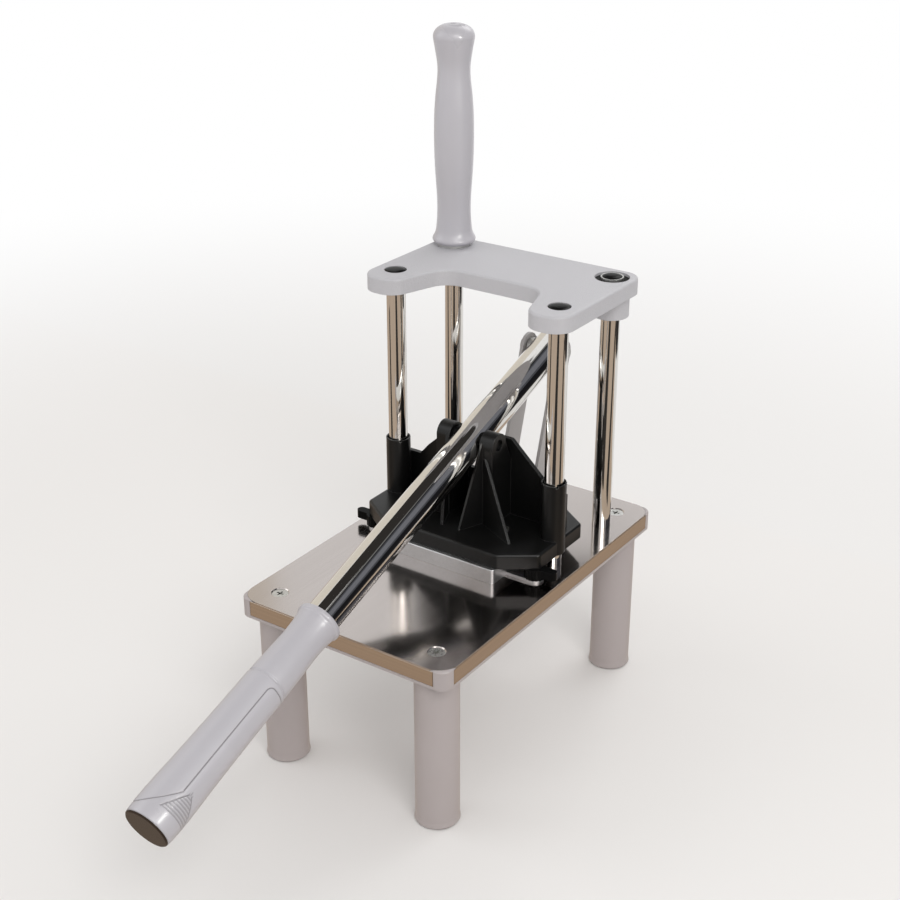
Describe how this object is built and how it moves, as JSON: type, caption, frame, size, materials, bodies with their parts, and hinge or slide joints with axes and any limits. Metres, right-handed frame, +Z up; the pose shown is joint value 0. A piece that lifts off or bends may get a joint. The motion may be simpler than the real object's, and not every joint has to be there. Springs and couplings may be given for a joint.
{
  "type": "french fry cutter",
  "caption": "Table-top lever press that pushes a potato down through a square blade grid, on a raised steel-topped base with an upright steadying handle.",
  "frame": {"origin": "on the table, midway between the four feet", "axes": "+Z up, +Y from the lever's grip towards the back of the base, +X to the right as seen from the grip"},
  "size_m": [0.2, 0.5344, 0.5613],
  "materials": {
    "brushed_steel": "brushed, satin",
    "mirror_steel": "polished",
    "chrome": "polished",
    "light_grey_plastic": "fine satin texture",
    "grip_grey_plastic": "satin",
    "leg_grey_plastic": "satin",
    "black_coat": "semi-gloss black coat",
    "black_plastic": "gloss",
    "black_rubber": "matt",
    "cast_aluminium": "satin",
    "blade_steel": "ground",
    "white_nylon": "satin",
    "zinc_steel": "plated",
    "bronze": "plain",
    "link_grey": "satin grey coat"
  },
  "bodies": {
    "base": {"top_cover": "brushed_steel", "base_frame": "leg_grey_plastic", "front_strip": "mirror_steel", "back_strip": "mirror_steel", "left_strip": "mirror_steel", "right_strip": "mirror_steel", "front_left_leg": "leg_grey_plastic", "front_right_leg": "leg_grey_plastic", "back_left_leg": "leg_grey_plastic", "back_right_leg": "leg_grey_plastic", "leg_inserts": "zinc_steel", "foot_pads": "black_rubber", "leg_screws": "zinc_steel", "front_left_column": "chrome", "front_right_column": "chrome", "back_left_column": "chrome", "back_right_column": "chrome", "column_bolts": "zinc_steel", "column_washers": "zinc_steel", "top_plate": "light_grey_plastic", "top_screws": "zinc_steel", "column_caps": "black_plastic", "socket_washer": "black_rubber", "socket_collar": "zinc_steel", "socket_plug": "black_plastic", "handle_washer": "zinc_steel", "handle_rod": "zinc_steel", "upright_handle": "grip_grey_plastic", "blade_frame": "cast_aluminium", "lower_blades": "blade_steel", "upper_blades": "blade_steel", "link_bracket": "link_grey", "bracket_bolts": "zinc_steel", "link_lower_pin": "zinc_steel", "clamp_studs": "zinc_steel"},
    "carriage": {"carriage_body": "black_coat", "guide_bushes": "black_plastic", "push_block": "white_nylon", "push_block_screws": "zinc_steel", "pivot_pin": "black_coat"},
    "lever": {"lever_tube": "chrome", "pivot_bush": "black_plastic", "link_bush": "zinc_steel", "tube_plug": "black_plastic", "lever_grip": "grip_grey_plastic", "grip_cap": "black_plastic"},
    "links": {"left_link": "link_grey", "right_link": "link_grey", "link_bolts": "zinc_steel"},
    "left_knob": {"left_wing_knob": "black_plastic", "left_knob_insert": "bronze"},
    "right_knob": {"right_wing_knob": "black_plastic", "right_knob_insert": "bronze"}
  },
  "joints": [
    {"name": "carriage_slide", "type": "slide", "parent": "base", "child": "carriage", "axis": [0, 0, 1], "range_m": [0, 0.11]},
    {"name": "lever_pivot", "type": "hinge", "parent": "carriage", "child": "lever", "pos_m": [0, 0.0215, 0.2484], "axis": [-1, 0, 0], "range_deg": [0, 52.5]},
    {"name": "link_pivot", "type": "hinge", "parent": "base", "child": "links", "pos_m": [0, 0.101, 0.168], "axis": [1, 0, 0], "range_deg": [0, 5.75]},
    {"name": "left_knob_turn", "type": "hinge", "parent": "base", "child": "left_knob", "pos_m": [-0.08, -0.004, 0.16], "axis": [0, 0, 1], "range_deg": [0, 450]},
    {"name": "right_knob_turn", "type": "hinge", "parent": "base", "child": "right_knob", "pos_m": [0.08, -0.004, 0.16], "axis": [0, 0, 1], "range_deg": [0, 450]}
  ],
  "couplings": [
    {"joint": "lever_pivot", "follows": "carriage_slide", "rad_per_m": 8.3191},
    {"joint": "link_pivot", "follows": "carriage_slide", "rad_per_m": 0.9034}
  ]
}
